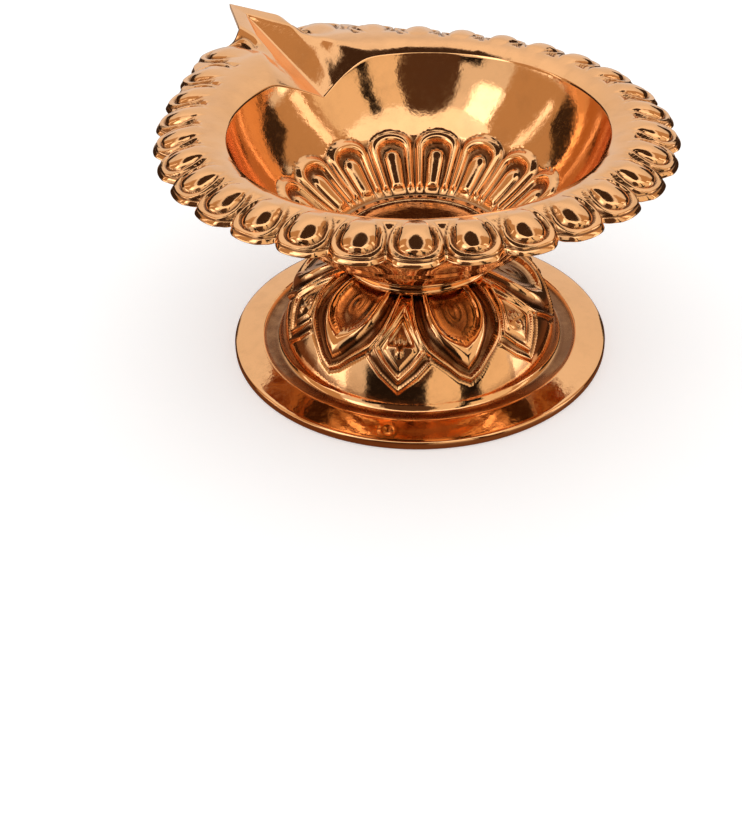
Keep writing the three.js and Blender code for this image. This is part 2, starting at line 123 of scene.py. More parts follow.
# The edge's section, out from the last ring and up, for the lobes and for the spout
LOBED_EDGE = [(0.03, -0.06), (0.07, -0.38), (0.14, -0.40), (0.36, -0.58), (0.56, -0.80),
              (0.72, -1.02), (0.80, -1.20), (0.76, -1.36), (0.58, -1.46), (0.30, -EDGE_HEIGHT)]
SPOUT_EDGE = [(0.03, -0.03), (0.08, -0.08), (0.12, -0.15), (0.14, -0.25), (0.15, -0.40),
              (0.15, -0.65), (0.15, -0.85), (0.14, -1.05), (0.11, -1.20), (0.05, -1.28)]
EDGE_CREASE = (1, 2)       # sections of the edge that lie in the crease under the bands, painted dark as shade

# Ornament of a lobe. Ends and ranges are measured outwards from the lobe's centre.
BEAD_HALF_WIDTH = 3.4
BEAD_TAPER = 0.42          # share of its width that the bead loses inwards
BEAD_END = 2.95
BEAD_RISE = 0.95           # how far it arches over the flange
BEAD_RISES = (-6.5, -0.6)
BEAD_FALL = 0.6            # how far its crest falls again towards its end
BEAD_FALLS = (-1.2, 3.0)
BEAD_END_DROP = 0.4        # share of its height that is lost in its rounded end
BEAD_END_DROPS = (2.2, BEAD_END)
BEAD_POWERS = (3.0, 1.05)  # of its section where it starts, and how much rounder it gets
GROOVE_DEPTH = 0.6
GROOVE_GROWS = (-4.9, -1.6)
GROOVE_WIDTHS = (0.3, 0.25)  # where it starts, and how much wider it gets
GROOVE_END = 3.2
BAND_HALF_WIDTH = 4.78
BAND_TAPER = 0.3
BAND_END = 4.45
GAP_DEPTH = 0.6
GAP_GROWS = (-5.4, -3.4)
GAP_LOSS = 0.45            # the gap gets this much shallower towards the edge
GAP_LOSSES = (1.6, 3.6)
LOBES_RISE = (math.radians(4.8), math.radians(7.2))  # from the spout's line

# Rosette in the well. A part of a petal has a half width, where half the petals' pitch is
# 1, a height where its round end starts, and that end's length.
PETAL_PITCH = math.radians(22.5)
PETAL_BEAD = (0.4, 7.5, 2.6)
PETAL_INNER = (0.54, 9.6, 2.2)
PETAL_OUTER = (0.96, 10.7, 4.1)
PETAL_BEAD_RISE = 0.95
PETAL_RISE = 0.9
PETAL_GAP_DEPTH = 0.35
PETAL_TOP = 15.6           # the petals end below this height along the wall

# Base, as in the CAD model
FLANGE_WIDTH = 6.8
GUTTER_WIDTH = 3.8
GUTTER_OUTER = FOOT_RADIUS - FLANGE_WIDTH
GUTTER_INNER = GUTTER_OUTER - GUTTER_WIDTH
GUTTER_Z = 1.7
FLANGE_EDGE_Z = 2.1
FLANGE_TOP_Z = 2.9
BASE_SHEET = 1.2
BOLT_HOLE = 3.4
# Handles of the dome's curve, from its foot to the edge of its flat top
DOME = np.array([(GUTTER_INNER, GUTTER_Z), (GUTTER_INNER - 2.5, 10.4),
                 (27.3, DOME_TOP - 2.1), (15.0, DOME_TOP)])
PIT = (-27.8, -27.8)       # a small dent in the flange, from the axis
PIT_RADIUS = 1.3
PIT_DEPTH = 0.4
PIT_BORDER = 0.1           # height of the raised border round it

# Lotus on the dome, as curves of half a petal or half a diamond: degrees from its axis and
# distance down the dome from its top
PETAL_AXIS = math.radians(45.4)    # of one petal, from the spout
DIAMOND_AXIS = math.radians(16.0)  # of one diamond
RIDGE_OUTER = [(0, 21.9), (4.4, 20.6), (8.7, 18.4), (12.5, 16.9), (17.5, 15.0), (20.5, 12.8),
               (23.0, 10.2), (24.6, 7.6), (25.6, 4.5), (26.5, -1)]
RIDGE_INNER = [(0, 20.7), (4.4, 19.2), (8.7, 16.9), (12, 15.5), (16.3, 13.5), (18.9, 11.5),
               (20.9, 9.5), (22.3, 7.2), (23.4, 4.6), (24.4, -1)]
BAND_INNER = [(0, 19.2), (4.4, 17.2), (7.2, 15.4), (10.2, 13.6), (13.0, 11.6), (15.6, 9.4),
              (17.3, 7.0), (18.4, 4.2), (19.4, -1)]
HOLLOW = [(0, 13.2), (4.0, 12.2), (7.4, 11.0), (10.2, 9.2), (12.2, 6.8), (13.4, 4.0), (14.2, -1)]
DIAMOND = [(0, 4.4), (4.8, 9.0), (11.0, 14.3), (5.8, 17.5), (0, 20.6)]
DIAMOND_INNER = [(0, 7.9), (7.0, 14.2), (0, 18.2)]
BACK_PETAL = [(14.0, 16.1), (7.5, 19.6), (0, 22.9)]
DROP = 6.0                 # place of the drop in a petal's hollow, down the dome
DIAMOND_BEAD = 14.7        # place of the bead in a diamond
# Smaller beads above it: aside, down the dome, radius
SMALL_BEADS = ((0.0, 11.9, 0.5), (0.9, 12.2, 0.4))

# How much of the sheet's small waves the hidden and the turned faces show
CALM = 0.12
EDGE_CALM = 0.3
FOOT_CALM = 0.5

COLUMNS = 1200  # of points, round the bowl and round the base


def smooth(value, low, high):
    """A smooth step from 0 at low to 1 at high."""
    share = np.clip((value - low) / (high - low), 0, 1)
    return share * share * (3 - 2 * share)


def bump(value, centre, half_width):
    """A rounded ridge of height 1: the square of a cosine across it, and 0 outside."""
    across = np.clip((value - centre) / half_width, -1, 1)
    return np.cos(across * np.pi / 2) ** 2


def cap(value, power=2):
    """A cap of height 1 over value 0 to 1 and 0 beyond: the quarter of a superellipse, a
    circle for the power 2 and flatter on top for a higher one."""
    return np.clip(1 - np.clip(value, 0, 1) ** power, 0, 1) ** (1 / power)


def soft_least(a, b, width):
    """The lesser of two values, with the corner where they meet rounded over a width."""
    return (a + b - np.sqrt((a - b) ** 2 + width ** 2)) / 2


def turn(radius, height, angle):
    """Points at a radius and a height, at angles measured from the spout, anticlockwise."""
    radius, height, angle = np.broadcast_arrays(radius, height, angle)
    return np.stack([-radius * np.sin(angle), AXIS_Y + radius * np.cos(angle), height], -1)


def even_angles(count):
    """Angles all round, the first one on the spout's line."""
    return (np.arange(count) / count * 2 * np.pi + np.pi) % (2 * np.pi) - np.pi


def profile_normals(radius, height):
    """Normals of sections given as rows of points, to the left of the way they run."""
    along_r = np.gradient(radius, axis=0)
    along_z = np.gradient(height, axis=0)
    length = np.hypot(along_r, along_z)
    return -along_z / length, along_r / length


def bezier(handles, share):
    """A Bezier curve through two, three or four handles: the Bernstein sum at each share."""
    share = np.asarray(share, dtype=float)[..., None]
    order = len(handles) - 1
    terms = [math.comb(order, i) * share ** i * (1 - share) ** (order - i) * handles[i]
             for i in range(order + 1)]
    return sum(terms)


def arc_lengths(points):
    """Length along a path of points: the sum of its straight pieces up to each point."""
    return np.concatenate([[0], np.cumsum(np.hypot(*np.diff(points, axis=0).T))])


def path_distance(x, y, path):
    """Distance from points to a path of straight lines: the least over its segments."""
    least = np.full(x.shape, 1e9)
    for (x0, y0), (x1, y1) in zip(path[:-1], path[1:]):
        dx, dy = x1 - x0, y1 - y0
        share = np.clip(((x - x0) * dx + (y - y0) * dy) / (dx * dx + dy * dy), 0, 1)
        least = np.minimum(least, np.hypot(x - x0 - share * dx, y - y0 - share * dy))
    return least


class Rings:
    """Rings of points round the axis, on their way to becoming one closed mesh.

    Each point carries painted shade, 1 where a groove is painted dark as shade, and a
    ripple, how much of the sheet's small waves a place shows.
    """

    def __init__(self, angle):
        self.angle = angle
        self.points, self.recess, self.ripple = [], [], []

    def add(self, radius, height, recess=0.0, ripple=1.0, step=1):
        """A ring with every step-th column."""
        given = np.broadcast_arrays(radius, height, self.angle, recess, ripple)
        radius, height, angle, recess, ripple = (values[::step] for values in given)
        self.points.append(turn(radius, height, angle))
        self.recess.append(recess)
        self.ripple.append(ripple)

    def pole(self, height, ripple=1.0):
        """A single point on the axis."""
        self.points.append(turn(0.0, height, np.zeros(1)))
        self.recess.append(np.zeros(1))
        self.ripple.append(np.full(1, ripple))


def band_faces(a, n, b, m):
    """Faces between a ring of n points from index a on and the next, of m points from b.

    Two rings of one length are joined by four-sided faces, a ring and one of twice its
    length by five-sided ones, and a ring and a single point by a fan.
    """
    j = np.arange(n if m == 1 else m if n == 1 else min(n, m))
    k = (j + 1) % len(j)
    if n == m:
        return np.stack([a + j, b + j, b + k, a + k], 1)
    if n == 1:
        return np.stack([np.full(m, a), b + j, b + k], 1)
    if m == 1:
        return np.stack([a + j, np.full(n, b), a + k], 1)
    if n == 2 * m:
        return np.stack([a + 2 * j, b + j, b + k, a + (2 * k) % n, a + 2 * j + 1], 1)
    return np.stack([a + j, b + 2 * j, b + 2 * j + 1, b + (2 * k) % m, a + k], 1)


def shell(name, sheet, loop=False):
    """A closed mesh from rings of points that run anticlockwise, each joined to the next.
    With loop, the last one is joined to the first."""
    rings = sheet.points
    starts = np.cumsum([0] + [len(ring) for ring in rings])
    pairs = [(i, i + 1) for i in range(len(rings) - 1)]
    if loop:
        pairs.append((len(rings) - 1, 0))
    faces = [band_faces(starts[i], len(rings[i]), starts[j], len(rings[j])) for i, j in pairs]
    corners = np.concatenate([face.ravel() for face in faces])
    sizes = np.concatenate([np.full(len(face), face.shape[1]) for face in faces])
    points = np.concatenate(rings) * MM
    mesh = bpy.data.meshes.new(name)
    mesh.vertices.add(len(points))
    mesh.vertices.foreach_set("co", points.astype(np.float32).ravel())
    mesh.loops.add(len(corners))
    mesh.loops.foreach_set("vertex_index", corners.astype(np.int32))
    mesh.polygons.add(len(sizes))
    first_corner = np.concatenate([[0], np.cumsum(sizes)[:-1]])
    mesh.polygons.foreach_set("loop_start", first_corner.astype(np.int32))
    mesh.polygons.foreach_set("use_smooth", np.ones(len(sizes), dtype=bool))
    mesh.update(calc_edges=True)
    mesh.validate()
    for mark, values in (("recess", sheet.recess), ("ripple", sheet.ripple)):
        layer = mesh.attributes.new(mark, "FLOAT", "POINT")
        layer.data.foreach_set("value", np.concatenate(values).astype(np.float32))
    piece = bpy.data.objects.new(name, mesh)
    bpy.context.scene.collection.objects.link(piece)
    return piece


def rim_pull(place):
    """How far the rim is drawn out at a lobe, counted from the spout: a falling exponential."""
    return RIM_PULL * np.exp(-place * LOBE_PITCH / RIM_PULL_ANGLE)


def outline_radius(angle):
    """Radius of the rim's outline. Each lobe ends in a round of LOBE_ROUNDNESS times its
    centre's radius, and the spout's own two edges meet in a point between the first two
    lobes: y = (reach - x) tan(half angle), written for the radius at an angle."""
    away = np.abs(angle)
    slope = math.tan(SPOUT_TIP_HALF_ANGLE)
    tip = SPOUT_REACH * slope / (np.sin(away) + np.cos(away) * slope)
    radius = np.zeros_like(away)
    for place in (np.floor(away / LOBE_PITCH), np.ceil(away / LOBE_PITCH)):
        centre = (RIM_RADIUS + rim_pull(place)) / (1 + LOBE_ROUNDNESS)
        off = np.sin(away - place * LOBE_PITCH)
        reach = np.clip(LOBE_ROUNDNESS ** 2 - off ** 2, 0, None)
        round_end = centre * (np.sqrt(1 - off ** 2) + np.sqrt(reach))
        radius = np.where(place > 0, np.maximum(radius, round_end), radius)
    return np.where(away < LOBE_PITCH, np.maximum(tip, radius), radius)


def wall_share_at(height):
    """How far along the wall's curve a height is reached, by halving."""
    low, high = 0.0, 1.0
    for _ in range(40):
        middle = (low + high) / 2
        if bezier(WALL, middle)[1] < height:
            low = middle
        else:
            high = middle
    return low


CHANNEL_START_Z = MOUTH_Z - CHANNEL_DEPTH
CHANNEL_START_SHARE = wall_share_at(CHANNEL_START_Z)
CHANNEL_START = float(bezier(WALL, CHANNEL_START_SHARE)[0])


def rim_height(share, radius, angle):
    """Height of the rim's upper face without its lobes.

    It turns over from the mouth with one power and droops from the crest with another. At
    the spout it runs level and rises to the tip, and the channel is pressed in: two facets
    from the valley's line to the spout's land. Their upper edges are rounded, most of all
    where they meet the bowl's mouth.
    """
    inward = np.clip(1 - share / RIM_CREST_SHARE, 0, None)
    outward = np.clip(share - RIM_CREST_SHARE, 0, None) / (1 - RIM_CREST_SHARE)
    turned = MOUTH_Z + RIM_RISE * (1 - inward ** RIM_INNER_POWER)
    dip = FLANGE_DIP * smooth(np.abs(angle), *FLANGE_DIPS)
    arch = (turned - RIM_DROOP * outward ** RIM_OUTER_POWER
            - dip * (1 - inward ** RIM_INNER_POWER))
    flat = turned + SPOUT_RISE * share
    top = arch + (flat - arch) * (1 - smooth(np.abs(angle), *SPOUT_FADES))

    along = radius * np.cos(angle)
    aside = np.abs(radius * np.sin(angle))
    way = (along - CHANNEL_START) / (CHANNEL_END - CHANNEL_START)
    half_width = np.maximum(CHANNEL_HALF_WIDTH * (1 - way), 0.01)
    valley_end = SPOUT_TIP - CHANNEL_END_DEPTH
    valley = CHANNEL_START_Z + (valley_end - CHANNEL_START_Z) * np.clip(way, 0, 1)
    valley = np.minimum(valley, top)
    across = np.hypot(aside, CHANNEL_EDGE_ROUND) - CHANNEL_EDGE_ROUND
    facet = valley + (top - valley) * np.minimum(across / half_width, 3)
    rounding = CHANNEL_EDGE_ROUND + CHANNEL_MOUTH_ROUND * smooth(way, 0.3, 0)
    pressed = soft_least(facet, top, rounding)
    inside = (np.cos(angle) > 0) & (way < 1)
    fade = smooth(aside / half_width, 2.4, 1.3)
    return np.where(inside, top + (pressed - top) * fade, top)


def lobe_relief(radius, angle):
    """Relief of the lobed rim: height, and painted shade in the grooves and gaps.

    Each lobe is a tongue that grows out of the flange, arches over and falls to its end,
    with a groove on both sides and round its end. The groove is a point at first and
    widens outwards. Round it lies a flat band, level with the flange, and between the
    bands of two lobes is a narrow gap. a runs outwards from the lobe's centre and b across
    it, both in millimetres of a plain lobe. Each edge is an ellipse for a over 0 and a
    straight line for a under 0, and a tongue's section is a superellipse.
    """
    away = np.abs(angle)
    place = np.maximum(np.round(away / LOBE_PITCH), 1)
    centre = RIM_RADIUS - LOBE_REACH
    a = radius / (1 + rim_pull(place) / RIM_RADIUS) - centre
    b = centre * np.abs(np.sin(away - place * LOBE_PITCH))
    out = np.clip(a, 0, None)
    inward = np.clip(-a / 5, 0, 1.2) ** 2
    grown = smooth(a, *GROOVE_GROWS)

    bead_width = BEAD_HALF_WIDTH * (1 - BEAD_TAPER * inward)
    groove_width = bead_width + GROOVE_WIDTHS[0] + GROOVE_WIDTHS[1] * grown
    band_width = BAND_HALF_WIDTH * (1 - BAND_TAPER * inward)
    bead = np.hypot(b / bead_width, out / BEAD_END)
    band_inner = np.hypot(b / groove_width, out / GROOVE_END)
    band_outer = np.hypot(b / band_width, out / BAND_END)

    depth = GROOVE_DEPTH * grown
    fall_length = BEAD_FALLS[1] - BEAD_FALLS[0]
    fallen = (np.clip(a - BEAD_FALLS[0], 0, fall_length) / fall_length) ** 2
    crest = BEAD_RISE * smooth(a, *BEAD_RISES) - BEAD_FALL * fallen
    width_left = np.sqrt(np.clip(1 - (out / BEAD_END) ** 2, 0.02, 1))
    across = np.clip(b / bead_width / width_left, 0, 1)
    section = cap(across, BEAD_POWERS[0] - BEAD_POWERS[1] * grown)
    tongue = (crest + depth) * section * (1 - BEAD_END_DROP * smooth(out, *BEAD_END_DROPS)) - depth
    wall = -depth * smooth(band_inner, 1.02, 0.96)
    gap = smooth(a, *GAP_GROWS)
    gap_depth = GAP_DEPTH - GAP_LOSS * smooth(a, *GAP_LOSSES)
    height = np.where(bead < 1, tongue, wall) - gap * gap_depth * smooth(band_outer, 0.985, 1.045)
    # Painted shade in the groove round the tongue and in the gaps between the bands
    recess = grown * smooth(bead, 0.95, 1.0) * smooth(band_inner, 1.01, 0.97)
    recess = np.maximum(recess, gap * bump(band_outer, 1.04, 0.06))
    rising = smooth(away, *LOBES_RISE)
    return height * rising, recess * rising


def petal_outline(q, arc, part):
    """1 on the outline of a petal's part, with straight sides and an elliptic end, and less
    inside it."""
    half_width, end_start, end_length = part
    return np.hypot(q / half_width, np.clip(arc - end_start, 0, None) / end_length)


def rosette_relief(arc, angle):
    """Relief of the sixteen petals pressed into the well: height and painted shade.

    arc is the distance up the wall from the floor's edge. Across a petal, q runs from 0 on
    its axis to 1 half way to the next. A petal is a bead, a groove round it painted dark as
    shade, and a rounded band between two outlines, inner and outer. The band's outer edge
    and the gaps between petals are painted dark as shade too.
    """
    off = np.abs((angle + PETAL_PITCH / 2) % PETAL_PITCH - PETAL_PITCH / 2)
    q = off / (PETAL_PITCH / 2)
    bead, inner, outer = (petal_outline(q, arc, part)
                          for part in (PETAL_BEAD, PETAL_INNER, PETAL_OUTER))
    rise_in = np.clip(inner - 1, 0, None)
    rise_out = np.clip(1 - outer, 0, None)
    across = rise_in / (rise_in + 1.4 * rise_out + 1e-6)
    band = PETAL_RISE * np.sin(np.pi * across) ** 0.8
    gap = smooth(outer, 0.98, 1.03) * smooth(arc, 13.4, 12.2)
    rim = bump(outer, 1.02, 0.07) * smooth(arc, 10.5, 12.5)
    height = PETAL_BEAD_RISE * cap(bead) + np.where((inner > 1) & (outer < 1), band, 0)
    height -= PETAL_GAP_DEPTH * gap + 0.12 * (inner < 1) * smooth(bead, 0.9, 1.05)
    height -= 0.1 * rim
    # Painted shade in the groove round the bead, in the gaps and along the band's outer edge
    recess = np.maximum(smooth(bead, 0.96, 1.04) * smooth(inner, 1.03, 0.97), gap)
    foot = smooth(arc, -0.3, 1.2)
    return height * foot, np.maximum(recess, 0.8 * rim) * foot


def bowl_angles():
    """Angles of the bowl's columns, closer together towards the spout."""
    fine = np.linspace(-np.pi, np.pi, 20001)
    density = 1 + 0.9 * np.exp(-(fine / math.radians(10)) ** 4)
    total = np.concatenate([[0], np.cumsum((density[1:] + density[:-1]) / 2)])
    return np.interp(np.arange(COLUMNS) / COLUMNS * total[-1], total, fine)


class BowlPlan:
    """What the bowl's rings share, column by column: the end of the wall's curve, which the
    channel cuts short, the mouth, the rim's width and how much of the lobes there is."""

    def __init__(self):
        self.angle = angle = bowl_angles()
        aside = np.where(np.cos(angle) > 0, MOUTH_RADIUS * np.abs(np.sin(angle)), 99)
        clear = soft_least(aside / CHANNEL_HALF_WIDTH, 1, 0.14)
        self.top_share = CHANNEL_START_SHARE + (1 - CHANNEL_START_SHARE) * clear
        self.mouth = bezier(WALL, self.top_share)[:, 0]
        self.lobed = smooth(np.abs(angle), SPOUT_HALF_SECTOR, 1.5 * SPOUT_HALF_SECTOR)
        outline = outline_radius(angle)
        lip = SPOUT_LIP + (LIP - SPOUT_LIP) * self.lobed
        off = np.abs((angle + LOBE_PITCH / 2) % LOBE_PITCH - LOBE_PITCH / 2) / LOBE_PITCH * 2
        notch = NOTCH * np.clip((off - NOTCH_START) / (1 - NOTCH_START), 0, 1) ** NOTCH_POWER
        self.wide = outline - lip - (EDGE_INSET + notch) * self.lobed - self.mouth
        self.whole = outline - self.mouth
        self.shares = np.linspace(0, 1, 2001)
        self.arcs = arc_lengths(bezier(WALL, self.shares))

    def rim(self, share):
        """Radius and height of the rim's upper face, and the lobes' relief and painted shade there.
        """
        radius = self.mouth + self.wide * share
        height = rim_height(share * self.wide / self.whole, radius, self.angle)
        return radius, height, *lobe_relief(radius, self.angle)

    def wall(self, arc):
        """The same four values for the wall, at a distance up from the floor's edge."""
        here = bezier(WALL, np.interp(arc, self.arcs, self.shares))
        return here[:, 0], here[:, 1], *rosette_relief(arc, self.angle)


# Rings of the bowl's floor, as radius and height over the floor, from the centre outwards
BOWL_FLOOR = [(3.0, -0.29), (7.0, -0.25), (11.0, -0.18), (14.5, -0.08), (16.2, -0.02),
              (16.7, 0.16), (17.2, 0.02), (17.8, 0.02), (FLOOR_RADIUS - 0.2, 0.02),
              (FLOOR_RADIUS + 0.15, 0.3)]
BOWL_CENTRE = -0.3
COARSE_ROWS = 6   # of the floor, from the centre
FINE_ROWS = 31    # of the rim, up to its edge


def bowl_top(plan):
    """Rows of the bowl's upper face, as radius, height, relief and painted shade: floor,
    petalled wall and lobed rim."""
    rows = []
    for radius, rise in BOWL_FLOOR:
        # The ring groove at the floor's edge is painted dark as shade
        groove = 0.8 * float(bump(radius, FLOOR_RADIUS - 0.1, 0.5))
        rows.append([np.full(COLUMNS, value) for value in (radius, FLOOR_Z + rise, 0.0, groove)])
    for arc in np.linspace(0, PETAL_TOP, 32):
        rows.append(plan.wall(np.full(COLUMNS, arc)))
    above = np.interp(plan.top_share, plan.shares, plan.arcs) - PETAL_TOP
    for share in (0.1, 0.22, 0.35, 0.48, 0.61, 0.73, 0.84, 0.92, 0.97, 1):
        rows.append(plan.wall(PETAL_TOP + share * above))
    near_mouth = [0.012, 0.03, 0.055, 0.09, 0.13, 0.18, 0.23]
    for share in np.concatenate([near_mouth, np.linspace(0.28, 0.84, 21), np.linspace(0.86, 1, 10)]):
        rows.append(plan.rim(share))
    return [np.array(values) for values in zip(*rows)]


def add_bowl_underside(sheet, plan):
    """Rings of the bowl's lower face, from the edge inwards, with turned flutes under the
    wall."""
    edge_drop = (EDGE_HEIGHT - BOWL_SHEET) * plan.lobed
    for share in np.concatenate([np.linspace(0.97, 0.46, 12), [0.36, 0.26, 0.16]]):
        radius, height, lift, _ = plan.rim(share)
        turned = edge_drop * smooth(share, 0.93, 0.97)
        lower = height - BOWL_SHEET - turned + 0.6 * lift * smooth(share, 0.5, 0.7)
        sheet.add(radius, lower, step=2 if share > 0.7 else 4, ripple=EDGE_CALM)
    for share in np.concatenate([np.linspace(0.93, 0.5, 7), np.linspace(0.46, 0.02, 18)]):
        here = bezier(WALL, share * plan.top_share)
        slope = bezier(WALL, share * plan.top_share + 0.001) - here
        slope /= np.hypot(slope[:, 0], slope[:, 1])[:, None]
        arc = np.interp(share * plan.top_share, plan.shares, plan.arcs)
        flute = 0.45 * bump((arc + 0.4) % 3.2, 1.6, 1.5) * smooth(arc, 14, 12)
        off = BOWL_SHEET + flute
        sheet.add(here[:, 0] + slope[:, 1] * off, here[:, 1] - slope[:, 0] * off, step=4, ripple=CALM)
    for radius, rise in ((FLOOR_RADIUS, 0.25), (FLOOR_RADIUS - 0.25, 0.0), (12.0, 0.0)):
        sheet.add(radius, BOWL_BOTTOM + rise, step=4, ripple=CALM)
    sheet.pole(BOWL_BOTTOM, CALM)


def build_bowl():
    """The bowl as one closed sheet: floor, petalled wall, lobed rim, edge and underside."""
    plan = BowlPlan()
    radius, height, relief, recess = bowl_top(plan)
    normal_r, normal_z = profile_normals(radius, height)
    top_r, top_z = radius + relief * normal_r, height + relief * normal_z

    sheet = Rings(plan.angle)
    sheet.pole(FLOOR_Z + BOWL_CENTRE)
    for row in range(len(radius)):
        step = 4 if row < COARSE_ROWS else 1 if row >= len(radius) - FINE_ROWS else 2
        sheet.add(top_r[row], top_z[row], recess[row], step=step)
    lobed = plan.lobed
    for index, ((r1, z1), (r0, z0)) in enumerate(zip(LOBED_EDGE, SPOUT_EDGE)):
        # The crease under the lobes' bands is painted dark as shade
        crease = 0.9 * lobed if index in EDGE_CREASE else 0.0
        sheet.add(top_r[-1] + r0 + (r1 - r0) * lobed, top_z[-1] + z0 + (z1 - z0) * lobed, crease)
    add_bowl_underside(sheet, plan)
    return shell("bowl_sheet", sheet)


def nearest_axis(angle, axis):
    """Signed angle to the nearest of six axes, sixty degrees apart."""
    sixth = math.pi / 3
    return (angle - axis + sixth / 2) % sixth - sixth / 2


def inside_curve(x, y, path):
    """Distance to a petal's curve, positive on the side of the petal's axis."""
    path = np.array(path)
    order = np.argsort(path[:, 1])
    edge = np.interp(y, path[order, 1], path[order, 0])
    edge = np.where(y > path[:, 1].max(), 0, edge)
    inner = (x < edge) & (y < path[:, 1].max())
    return np.where(inner, 1, -1) * path_distance(x, y, path)


def swell(outer, inner, rise, power=1):
    """A ridge between two curves, from the distances to both: half a sine to a power."""
    share = np.clip(outer / (np.abs(outer) + np.abs(inner) + 1e-6), 0, 1)
    return np.where((outer > 0) & (inner < 0), rise * np.sin(np.pi * share) ** power, 0)


def petal_relief(x, y, local):
    """Relief of a lotus petal, its painted shade and the distance inside its outer curve. The
    petal is a thin ridge, a hollow band, a broad rounded ridge and a hollow with a drop in it.
    d0 to d3 are the distances inside its four curves."""
    d0, d1, d2, d3 = (inside_curve(x, y, local(path))
                      for path in (RIDGE_OUTER, RIDGE_INNER, BAND_INNER, HOLLOW))
    height = swell(d0, d1, 0.75, 0.7) + swell(d1, d2, -0.3) + swell(d2, d3, 0.95, 0.75)
    height += np.where(d3 > 0, -0.45 * smooth(d3, 0, 2.2), 0)
    drop = np.hypot(x, (y - DROP) / 1.9)
    height += 0.18 * bump(drop, 0, 1.0) + 0.06 * bump(drop, 1.6, 0.4)
    outer_groove = bump(d0, -0.42, 0.45) * smooth(y, 14.5, 16.5)
    height -= 0.35 * outer_groove
    # Painted shade: the outer groove, the hollow band, lines along the curves and the hollow are
    # painted dark
    band = smooth(d1, -0.1, 0.35) * smooth(d2, 0.25, -0.3)
    lines = bump(d1, 0.1, 0.45) + 0.6 * bump(d2, -0.1, 0.4) + 0.5 * bump(d3, 0.15, 0.4)
    dark = np.clip(outer_groove + band + lines + 0.75 * smooth(d3, 0.2, 1.4), 0, 1)
    return height, dark, d0


def diamond_relief(x, y, local):
    """Relief and painted shade of a diamond between two petals, with beads in it, and of the
    tip of the petal behind it."""
    ring = path_distance(x, y, local(DIAMOND))
    inner = path_distance(x, y, local(DIAMOND_INNER))
    corner = np.array(local(DIAMOND_INNER))
    edge = np.interp(y, corner[:, 1], corner[:, 0], left=0, right=0)
    within = smooth(edge - x, -0.1, 0.5)
    hollow = within * smooth(y, 13.6, 12.4)
    height = 0.8 * bump(ring, 0, 0.7) + 0.35 * within + 0.2 * bump(inner, 0, 0.3) - 0.45 * hollow
    bead = np.hypot(x / 0.9, (y - DIAMOND_BEAD) / 0.9)
    height += 0.5 * cap(bead)
    for aside, down, size in SMALL_BEADS:
        height += 0.35 * cap(np.hypot((x - aside) / size, (y - down) / (size * 1.7)))
    back = local(BACK_PETAL)
    height += 0.5 * bump(path_distance(x, y, back), 0, 0.6) * smooth(ring, 0.4, 0.7)
    above = np.interp(x, *zip(*back[::-1])) - y
    between = smooth(ring, 0.4, 0.7) * smooth(above, 0.2, 0.6) * smooth(edge - x, -0.2, -0.7)
    # Painted shade between the diamond and the petal behind, along its ring, round the bead and in
    # the hollow
    dark = np.clip(between * smooth(y, 14.5, 16.5) + bump(ring, 0.75, 0.3) * within
                   + bump(bead, 1.15, 0.35) * 0.8 + hollow * 0.45, 0, 1)
    return height, dark


def lotus_relief(down, radius, angle, profile):
    """Relief of the lotus on the dome: height and painted shade.

    Every curve is a path, and the relief is a function of the distances to the paths,
    measured on the dome's own surface. profile is a table of the distance down the dome
    and the radius there.
    """
    def local(path):
        """A curve laid out on the dome's surface, in millimetres."""
        radii = np.interp([p[1] for p in path], *profile)
        return [(math.radians(p[0]) * r, p[1]) for p, r in zip(path, radii)]

    height, dark, inside_petal = petal_relief(
        np.abs(nearest_axis(angle, PETAL_AXIS)) * radius, down, local)
    diamond, dark_diamond = diamond_relief(
        np.abs(nearest_axis(angle, DIAMOND_AXIS)) * radius, down, local)
    outside_petal = smooth(inside_petal, 0.1, -0.2)
    fade = smooth(down, 24.4, 23.3) * smooth(down, 0.2, 1.4)
    height = height + diamond * outside_petal
    return height * fade, np.maximum(dark, dark_diamond * outside_petal) * fade


# Rings of the base outside the dome, as radius, height and painted shade
GUTTER = [
    (GUTTER_INNER - 0.12, GUTTER_Z + 0.78, 0), (GUTTER_INNER + 0.08, GUTTER_Z + 0.48, 0),
    (GUTTER_INNER + 0.36, GUTTER_Z + 0.22, 0.1), (GUTTER_INNER + 0.75, GUTTER_Z + 0.05, 0.85),
    (GUTTER_INNER + 1.2, GUTTER_Z, 0.9), (GUTTER_INNER + 1.6, GUTTER_Z, 0.85),
    (GUTTER_INNER + 2.2, GUTTER_Z - 0.02, 0.85), (GUTTER_OUTER - 0.9, GUTTER_Z + 0.05, 0.85),
    (GUTTER_OUTER - 0.45, GUTTER_Z + 0.2, 0.85), (GUTTER_OUTER - 0.25, GUTTER_Z + 0.5, 0.5),
    (GUTTER_OUTER - 0.1, GUTTER_Z + 0.85, 0.1), (GUTTER_OUTER + 0.12, FLANGE_TOP_Z - 0.1, 0),
    (GUTTER_OUTER + 0.4, FLANGE_TOP_Z, 0),
]
# Rings of the foot's edge and hem, as radius, height and painted shade
FOOT_EDGE = [
    (FOOT_RADIUS - 0.45, FLANGE_EDGE_Z - 0.02, 0), (FOOT_RADIUS - 0.15, FLANGE_EDGE_Z - 0.16, 0),
    (FOOT_RADIUS - 0.02, FLANGE_EDGE_Z - 0.42, 0), (FOOT_RADIUS, 1.2, 0),
    (FOOT_RADIUS - 0.02, 0.55, 0), (FOOT_RADIUS - 0.14, 0.2, 0), (FOOT_RADIUS - 0.45, 0.0, 0),
    (FOOT_RADIUS - 2.2, 0.0, 0.2), (FOOT_RADIUS - 3.9, 0.0, 0.2), (FOOT_RADIUS - 4.2, 0.2, 0.4),
    (FOOT_RADIUS - 4.25, 0.45, 0.8), (GUTTER_OUTER - 1, GUTTER_Z - BASE_SHEET, 0.5),
]
FLANGE_START = GUTTER_OUTER + 0.75
FLANGE_END = FOOT_RADIUS - 0.9
DOME_FLAT = (14.0, 9.0, BOLT_HOLE)  # rings of the dome's flat top, inwards
DOME_FINE_ROWS = range(3, 56)


